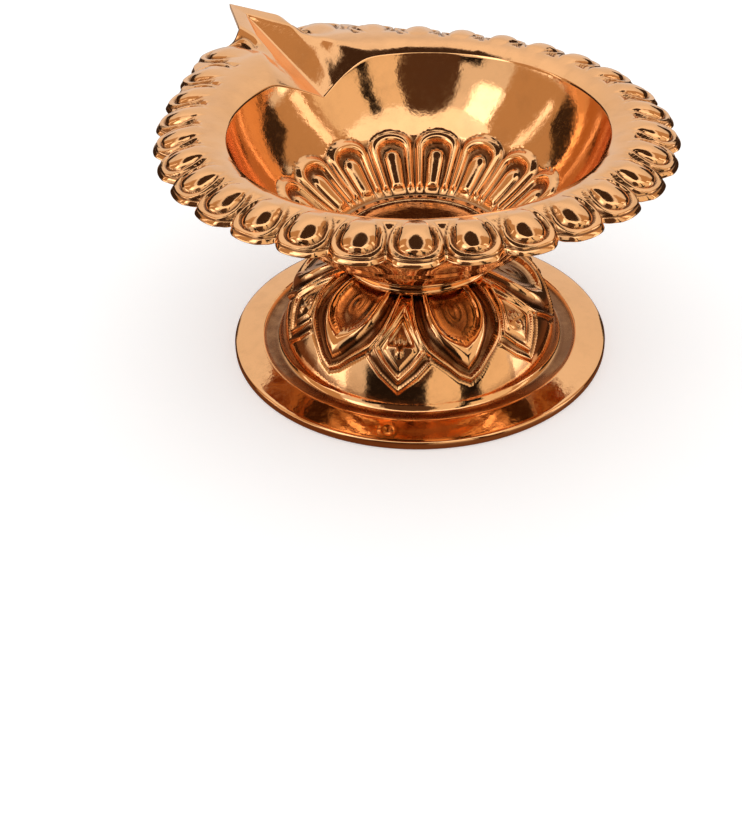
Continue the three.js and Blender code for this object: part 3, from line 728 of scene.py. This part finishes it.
def add_dome(sheet):
    """Rings of the dome's upper face with the lotus, from its top down."""
    fine = bezier(DOME, np.linspace(1, 0, 4001))
    arc = arc_lengths(fine)
    downs = np.concatenate([np.linspace(0.0, 1.2, 3), np.linspace(1.5, 24.2, 53),
                            np.linspace(24.7, arc[-1] - 1.15, 4)])
    everywhere = np.ones(COLUMNS)
    radius = np.interp(downs, arc, fine[:, 0])[:, None] * everywhere
    height = np.interp(downs, arc, fine[:, 1])[:, None] * everywhere
    relief, recess = lotus_relief(downs[:, None] * everywhere, radius, sheet.angle + 0 * radius,
                                  (arc, fine[:, 0]))
    normal_r, normal_z = profile_normals(radius, height)
    top_r, top_z = radius + relief * normal_r, height + relief * normal_z
    for row in range(len(downs)):
        sheet.add(top_r[row], top_z[row], recess[row], step=1 if row in DOME_FINE_ROWS else 2)


def add_flange(sheet):
    """Rings of the foot's sloping flange, with a small dent in it."""
    for share in np.linspace(0, 1, 12):
        radius = FLANGE_START + (FLANGE_END - FLANGE_START) * share
        height = FLANGE_TOP_Z - 0.03 - (FLANGE_TOP_Z - FLANGE_EDGE_Z - 0.09) * share
        away = np.hypot(-radius * np.sin(sheet.angle) - PIT[0],
                        radius * np.cos(sheet.angle) - PIT[1])
        dent = bump(away, 0, PIT_RADIUS)
        border = PIT_BORDER * bump(away, 1.5, 0.5)
        # The dent is painted dark as shade, most at its middle
        sheet.add(radius, height - PIT_DEPTH * dent + border, 0.6 * dent, step=2)


def build_base():
    """The base as one closed sheet: dome with its lotus, gutter, flange, hem and inside."""
    sheet = Rings(even_angles(COLUMNS))
    for radius in DOME_FLAT[::-1]:
        sheet.add(radius, DOME_TOP, step=2 if radius == DOME_FLAT[0] else 4)
    add_dome(sheet)
    for radius, height, dark in GUTTER:
        sheet.add(radius, height, dark, step=2)
    add_flange(sheet)
    for radius, height, dark in FOOT_EDGE:
        sheet.add(radius, height, dark, ripple=FOOT_CALM, step=2)
    # The inside faces are painted a little dark as shade
    sheet.add(GUTTER_INNER - BASE_SHEET, GUTTER_Z - BASE_SHEET, 0.4, step=4)
    for share in np.linspace(0.06, 0.97, 15):
        here = bezier(DOME, share)
        slope = bezier(DOME, share + 0.01) - here
        slope /= np.hypot(*slope)
        sheet.add(here[0] - slope[1] * BASE_SHEET, here[1] + slope[0] * BASE_SHEET, 0.3, step=4)
    for radius in DOME_FLAT:
        sheet.add(radius, DOME_TOP - BASE_SHEET, 0.3, step=4)
    return shell("base_lotus", sheet, loop=True)


def build_collar():
    """The turned ring between dome and bowl: foot band, neck groove and flared top."""
    bottom, top = COLLAR_BOTTOM, COLLAR_TOP
    flare = COLLAR_TOP_RADIUS
    foot, neck, bore = flare - 1.5, flare - 2.2, flare - 3.7
    groove = top - 1.9
    profile = [
        (bore, top - 0.15), (bore + 0.15, top), (flare - 0.8, top), (flare - 0.28, top - 0.03),
        (flare - 0.08, top - 0.12), (flare, top - 0.35), (flare - 0.08, top - 0.58),
        (flare - 0.3, top - 0.74), (neck + 1.15, top - 1.1), (neck + 0.5, top - 1.45),
        (neck + 0.12, top - 1.7), (neck, groove), (neck + 0.1, top - 2.12),
        (neck + 0.45, top - 2.32), (foot - 0.03, top - 2.52), (foot, bottom + 0.85),
        (foot, bottom + 0.3), (foot - 0.08, bottom + 0.08), (foot - 0.3, bottom),
        (bore + 0.15, bottom), (bore, bottom + 0.15),
    ]
    sheet = Rings(even_angles(192))
    for radius, height in profile:
        # The neck groove's ring is painted dark as shade
        sheet.add(radius, height, 0.9 if height == groove else 0.0, ripple=CALM)
    return shell("collar_ring", sheet, loop=True)


bowl = build_bowl()
base = build_base()
collar = build_collar()


class Nodes:
    """A few words for wiring nodes."""

    def __init__(self, tree):
        self.tree = tree

    def new(self, kind, **values):
        node = self.tree.nodes.new(kind)
        for name, value in values.items():
            setattr(node, name, value)
        return node

    def link(self, out, into):
        self.tree.links.new(out, into)

    def put(self, socket, value):
        """Sets a socket to a number or colour, or wires it to an output."""
        if isinstance(value, bpy.types.NodeSocket):
            self.link(value, socket)
        elif value is not None:
            socket.default_value = value

    def fill(self, node, **values):
        """Puts values into a node's inputs, by name with _ for a space."""
        for name, value in values.items():
            self.put(node.inputs[name.replace("_", " ")], value)

    def math(self, operation, a, b=None, c=None, clamp=False):
        node = self.new("ShaderNodeMath", operation=operation, use_clamp=clamp)
        for socket, value in zip(node.inputs, (a, b, c)):
            self.put(socket, value)
        return node.outputs[0]

    def step(self, value, low, high, to_low=0.0, to_high=1.0):
        node = self.new("ShaderNodeMapRange", interpolation_type="SMOOTHSTEP")
        for socket, number in zip(node.inputs, (value, low, high, to_low, to_high)):
            self.put(socket, number)
        return node.outputs[0]

    def blend(self, share, a, b):
        node = self.new("ShaderNodeMix", data_type="RGBA", clamp_factor=True)
        for index, value in ((0, share), (6, a), (7, b)):
            self.put(node.inputs[index], value)
        return node.outputs[2]

    def choose(self, share, first, second):
        """The first shader for a share of 0, and the second for 1."""
        node = self.new("ShaderNodeMixShader")
        for socket, value in zip(node.inputs, (share, first, second)):
            self.link(value, socket)
        return node.outputs[0]

    def noise(self, where, scale, detail, roughness):
        node = self.new("ShaderNodeTexNoise")
        self.fill(node, Vector=where, Scale=scale, Detail=detail, Roughness=roughness)
        return node.outputs[0]


def colour(red, green, blue):
    return (red, green, blue, 1.0)


# Heights of the sheet's unevenness, in metres: slow waves, fine crinkles and pits
WAVE_HEIGHT = 0.0001
CRINKLE_HEIGHT = 0.00003
PIT_HEIGHT = 0.000002


def metal_group():
    """Polished sheet metal: painted shade, a dark colour laid into the grooves, faint cloudy
    wear towards that colour, a haze of fine scratches, and small waves in the sheet."""
    group = bpy.data.node_groups.new("polished_sheet", "ShaderNodeTree")
    face = group.interface
    for name, kind, value in (
        ("Metal", "NodeSocketColor", colour(0.8, 0.45, 0.25)),
        ("Tarnish", "NodeSocketColor", colour(0.2, 0.08, 0.03)),
        ("Recess", "NodeSocketFloat", 0.0),
        ("Roughness", "NodeSocketFloat", 0.08),
        ("Cloud", "NodeSocketFloat", 0.5),
        ("Ripple", "NodeSocketFloat", 1.0),
    ):
        face.new_socket(name, in_out="INPUT", socket_type=kind).default_value = value
    for name, kind in (("Color", "NodeSocketColor"), ("Roughness", "NodeSocketFloat"),
                       ("Normal", "NodeSocketVector")):
        face.new_socket(name, in_out="OUTPUT", socket_type=kind)
    n = Nodes(group)
    given = n.new("NodeGroupInput").outputs
    out = n.new("NodeGroupOutput").inputs
    where = n.new("ShaderNodeTexCoord").outputs["Object"]
    cloud = n.noise(where, 160.0, 4.0, 0.6)
    speck = n.noise(where, 900.0, 3.0, 0.6)
    # Painted shade: the grooves' mark, broken up a little by the cloud, blends the colour to the dark
    # one and roughens it
    shade_mask = n.math("MULTIPLY", given["Recess"], n.step(cloud, 0.25, 0.6, 0.75, 1.0), clamp=True)
    worn = n.math("MULTIPLY", n.step(cloud, 0.42, 0.7), n.math("MULTIPLY", given["Cloud"], 0.35))
    warm = n.blend(worn, given["Metal"], n.blend(0.5, given["Metal"], given["Tarnish"]))
    n.link(n.blend(shade_mask, warm, given["Tarnish"]), out["Color"])
    haze = n.math("MULTIPLY_ADD", n.step(speck, 0.45, 0.75), 0.07, given["Roughness"])
    haze = n.math("MULTIPLY_ADD", n.step(cloud, 0.4, 0.7), 0.05, haze)
    n.link(n.math("MULTIPLY_ADD", shade_mask, 0.2, haze), out["Roughness"])
    height = n.math("MULTIPLY", n.noise(where, 95.0, 1.0, 0.4), WAVE_HEIGHT)
    height = n.math("MULTIPLY_ADD", n.noise(where, 430.0, 3.0, 0.6), CRINKLE_HEIGHT, height)
    height = n.math("MULTIPLY_ADD", n.noise(where, 1500.0, 2.0, 0.5), PIT_HEIGHT, height)
    uneven = n.new("ShaderNodeBump")
    n.fill(uneven, Strength=1.0, Distance=1.0, Height=n.math("MULTIPLY", height, given["Ripple"]))
    n.link(uneven.outputs["Normal"], out["Normal"])
    return group


POLISHED = metal_group()


def metal(name, metal_colour, shade_and_tarnish, roughness, cloud=0.5, marked=True):
    """A metal material that takes its colour, roughness and small waves from the group."""
    material = bpy.data.materials.new(name)
    material.use_nodes = True
    n = Nodes(material.node_tree)
    shader = material.node_tree.nodes["Principled BSDF"]
    sheet = n.new("ShaderNodeGroup", node_tree=POLISHED)
    n.fill(sheet, Metal=metal_colour, Tarnish=shade_and_tarnish, Roughness=roughness, Cloud=cloud, Ripple=0.5)
    if marked:
        for mark, socket in (("recess", "Recess"), ("ripple", "Ripple")):
            value = n.new("ShaderNodeAttribute", attribute_type="GEOMETRY", attribute_name=mark)
            n.link(value.outputs["Fac"], sheet.inputs[socket])
    n.fill(shader, Metallic=1.0, Base_Color=sheet.outputs["Color"],
           Roughness=sheet.outputs["Roughness"], Normal=sheet.outputs["Normal"])
    return material


# The second colour is the painted shade in the grooves and the tone of the cloudy wear
copper = metal("polished_copper", colour(0.90, 0.475, 0.215), colour(0.13, 0.04, 0.012), 0.06)
steel = metal("plated_steel", colour(0.52, 0.51, 0.49), colour(0.12, 0.10, 0.08), 0.3,
              cloud=0.9, marked=False)

for piece, node in ((bowl, "bowl"), (base, "base"), (collar, "collar")):
    piece.data.materials.append(copper)
    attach(piece, "root")
    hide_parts(node)

for node in ("stud", "washer", "nut"):
    for slot in bpy.data.objects[node].material_slots:
        slot.material = steel


FLOOR_SIZE = 3.0            # half its width, in metres
PAINTED_REFLECTION_FADE = (0.05, 0.085)  # the painted reflection round the foot fades out over these distances


def make_floor():
    """A wide pale floor. The camera sees it as white, with the object's shadow. Glossy rays
    see only a painted reflection round the foot, a dim warm brown glow, and the room beyond."""
    size = FLOOR_SIZE
    mesh = bpy.data.meshes.new("floor")
    mesh.from_pydata([(-size, -size, 0), (size, -size, 0), (size, size, 0), (-size, size, 0)], [],
                     [(0, 1, 2, 3)])
    floor = bpy.data.objects.new("floor", mesh)
    bpy.context.scene.collection.objects.link(floor)
    material = bpy.data.materials.new("pale_floor")
    material.use_nodes = True
    n = Nodes(material.node_tree)
    shader = material.node_tree.nodes["Principled BSDF"]
    n.fill(shader, Base_Color=colour(0.82, 0.81, 0.80), Roughness=0.7, Specular_IOR_Level=0.0,
           Emission_Color=colour(1, 1, 1), Emission_Strength=0.3)
    path = n.new("ShaderNodeLightPath")
    reach = n.new("ShaderNodeVectorMath", operation="LENGTH")
    n.link(n.new("ShaderNodeTexCoord").outputs["Object"], reach.inputs[0])
    # Painted reflection: a dim warm brown glow that the metal mirrors round the foot
    painted_reflection = n.new("ShaderNodeEmission")
    n.fill(painted_reflection, Color=colour(0.15, 0.062, 0.028))
    mirrored = n.choose(n.step(reach.outputs["Value"], *PAINTED_REFLECTION_FADE), painted_reflection.outputs[0],
                        n.new("ShaderNodeBsdfTransparent").outputs[0])
    seen = n.choose(path.outputs["Is Glossy Ray"], shader.outputs[0], mirrored)
    n.link(seen, material.node_tree.nodes["Material Output"].inputs["Surface"])
    mesh.materials.append(material)


def area_light(name, azimuth, elevation, width, height, radiance, distance=0.8):
    """A soft box that faces the object from a direction in degrees, with sizes in metres."""
    data = bpy.data.lights.new(name, "AREA")
    data.shape = "RECTANGLE"
    data.size, data.size_y = width, height
    data.energy = radiance * math.pi * width * height
    light = bpy.data.objects.new(name, data)
    a, e = math.radians(azimuth), math.radians(elevation)
    spot = np.array([math.cos(a) * math.cos(e), math.sin(a) * math.cos(e), math.sin(e)])
    light.location = Vector(spot * distance) + Vector((0, 0, 0.03))
    light.rotation_euler = Vector(-spot).to_track_quat("-Z", "Y").to_euler()
    bpy.context.scene.collection.objects.link(light)


VIEW_AZIMUTH = -125.5  # where the camera stands, in degrees from +X

# What the metal mirrors. A field is a box of azimuth and elevation, from the lowest to the
# highest of each in degrees, and its tone. A later field covers an earlier one.
DARK = colour(0.014, 0.010, 0.008)
BROWN = colour(0.55, 0.37, 0.21)
DARK_BROWN = colour(0.04, 0.024, 0.015)
FIELDS = (
    ((-125, -62, 4, 60), BROWN),
    ((70, 125, 10, 60), BROWN),
    ((-70, 70, 46, 68), colour(1.5, 1.47, 1.4)),
    ((6, 74, -30, 46), colour(0.95, 0.84, 0.66)),
    ((-88, -58, -30, 4), colour(2.0, 2.0, 2.0)),
    ((-99, -94, 14, 50), colour(1.8, 1.7, 1.6)),
    ((-62, -40, 27, 52), colour(1.5, 1.5, 1.5)),
    ((78, 94, -30, 8), colour(2.0, 2.0, 2.0)),
    ((-42, 6, -30, 14), DARK),
    ((31, 39, 10, 48), DARK),
    ((31, 48, -30, 16), DARK),
    ((-152, -104, -30, 22), DARK_BROWN),
    ((104, 152, -30, 22), DARK_BROWN),
    ((-200, 200, 67, 95), colour(0.05, 0.03, 0.02)),
)
OVAL_CENTRE = (-8.0, 27.0)  # a dark oval in front of the object, on the camera's side
OVAL_REACH = (21.0, 25.0)
OVAL_TONE = colour(0.09, 0.05, 0.03)


def make_world():
    """A pale studio. The camera and the floor see plain white. The metal sees a pale room
    with darker gaps between its lights, which give it its contrast. Azimuths run from the
    camera's side, to the right as the camera sees the object."""
    world = bpy.data.worlds.new("studio")
    bpy.context.scene.world = world
    world.use_nodes = True
    tree = world.node_tree
    tree.nodes.clear()
    n = Nodes(tree)
    way = n.new("ShaderNodeTexCoord").outputs["Generated"]
    turned = n.new("ShaderNodeVectorRotate", rotation_type="Z_AXIS")
    n.fill(turned, Vector=way, Angle=-math.radians(VIEW_AZIMUTH))
    parts = n.new("ShaderNodeSeparateXYZ")
    n.link(turned.outputs[0], parts.inputs[0])
    x, y, z = parts.outputs
    azimuth = n.math("MULTIPLY", n.math("ARCTAN2", y, x), 180 / math.pi)
    elevation = n.math("MULTIPLY", n.math("ARCSINE", z), 180 / math.pi)
    ragged = n.math("MULTIPLY_ADD", n.noise(way, 5.0, 4.0, 0.65), 14.0, -7.0)
    azimuth = n.math("ADD", azimuth, n.math("MULTIPLY", ragged, 0.6))
    elevation = n.math("ADD", elevation, n.math("MULTIPLY", ragged, 0.5))

    def between(value, low, high, soft=1.5):
        """1 from low to high, with soft ends."""
        return n.math("MULTIPLY", n.step(value, low - soft, low + soft),
                      n.step(value, high - soft, high + soft, 1.0, 0.0))

    def cubed(value, centre, reach):
        """The cube of the distance from a centre, as a share of a reach."""
        share = n.math("DIVIDE", n.math("SUBTRACT", value, centre), reach)
        return n.math("POWER", n.math("ABSOLUTE", share), 3.0)

    room = n.blend(n.step(elevation, -30, 10), colour(0.42, 0.30, 0.20), colour(0.86, 0.84, 0.80))
    room = n.blend(n.step(elevation, 30, 55), room, colour(1.05, 1.03, 1.0))
    for (left, right, bottom, top), tone in FIELDS:
        inside = n.math("MULTIPLY", between(azimuth, left, right), between(elevation, bottom, top))
        room = n.blend(inside, room, tone)
    oval = n.math("ADD", cubed(azimuth, OVAL_CENTRE[0], OVAL_REACH[0]),
                  cubed(elevation, OVAL_CENTRE[1], OVAL_REACH[1]))
    room = n.blend(n.step(oval, 0.85, 1.2, 1.0, 0.0), room, OVAL_TONE)

    light = n.new("ShaderNodeBackground")
    n.fill(light, Color=room, Strength=1.0)
    white = n.new("ShaderNodeBackground")
    n.fill(white, Color=colour(1, 1, 1))
    seen = n.choose(n.new("ShaderNodeLightPath").outputs["Is Glossy Ray"],
                    white.outputs[0], light.outputs[0])
    n.link(seen, n.new("ShaderNodeOutputWorld").inputs["Surface"])


PICTURE_HEIGHT = 832  # of the photograph, in pixels
FOCAL_PIXELS = 1200   # the fitted camera's focal length
SENSOR = 36.0         # for the picture's longer side


def make_camera():
    """The camera at the photograph's place. It looks at the foot's middle, then turns by
    small angles sideways, upwards and about its own line of sight."""
    distance, elevation = 279.8, math.radians(34.24)
    yaw, pitch, roll = math.radians(-2.29), math.radians(3.91), math.radians(0.54)
    azimuth = math.radians(VIEW_AZIMUTH)
    back = np.array([math.cos(azimuth) * math.cos(elevation),
                     math.sin(azimuth) * math.cos(elevation), math.sin(elevation)])
    right = np.array([-math.sin(azimuth), math.cos(azimuth), 0.0])
    up = np.cross(back, right)
    view = Matrix([right, up, back])
    view = (Matrix.Rotation(roll, 3, "Z") @ Matrix.Rotation(pitch, 3, "X")
            @ Matrix.Rotation(yaw, 3, "Y") @ view)
    data = bpy.data.cameras.new("camera")
    data.sensor_width = SENSOR
    data.lens = FOCAL_PIXELS / PICTURE_HEIGHT * SENSOR
    data.clip_start, data.clip_end = 0.02, 20.0
    camera = bpy.data.objects.new("camera", data)
    place = view.transposed().to_4x4()
    place.translation = [float(v) * MM for v in back * distance + np.array([0, AXIS_Y, 0])]
    camera.matrix_world = place
    bpy.context.scene.collection.objects.link(camera)
    bpy.context.scene.camera = camera


make_floor()
make_world()
area_light("key", VIEW_AZIMUTH - 52, 38, 0.2, 0.3, 1.2)
area_light("fill", VIEW_AZIMUTH + 86, 30, 0.1, 0.45, 1.2)
make_camera()
bpy.context.scene.view_settings.view_transform = "Standard"
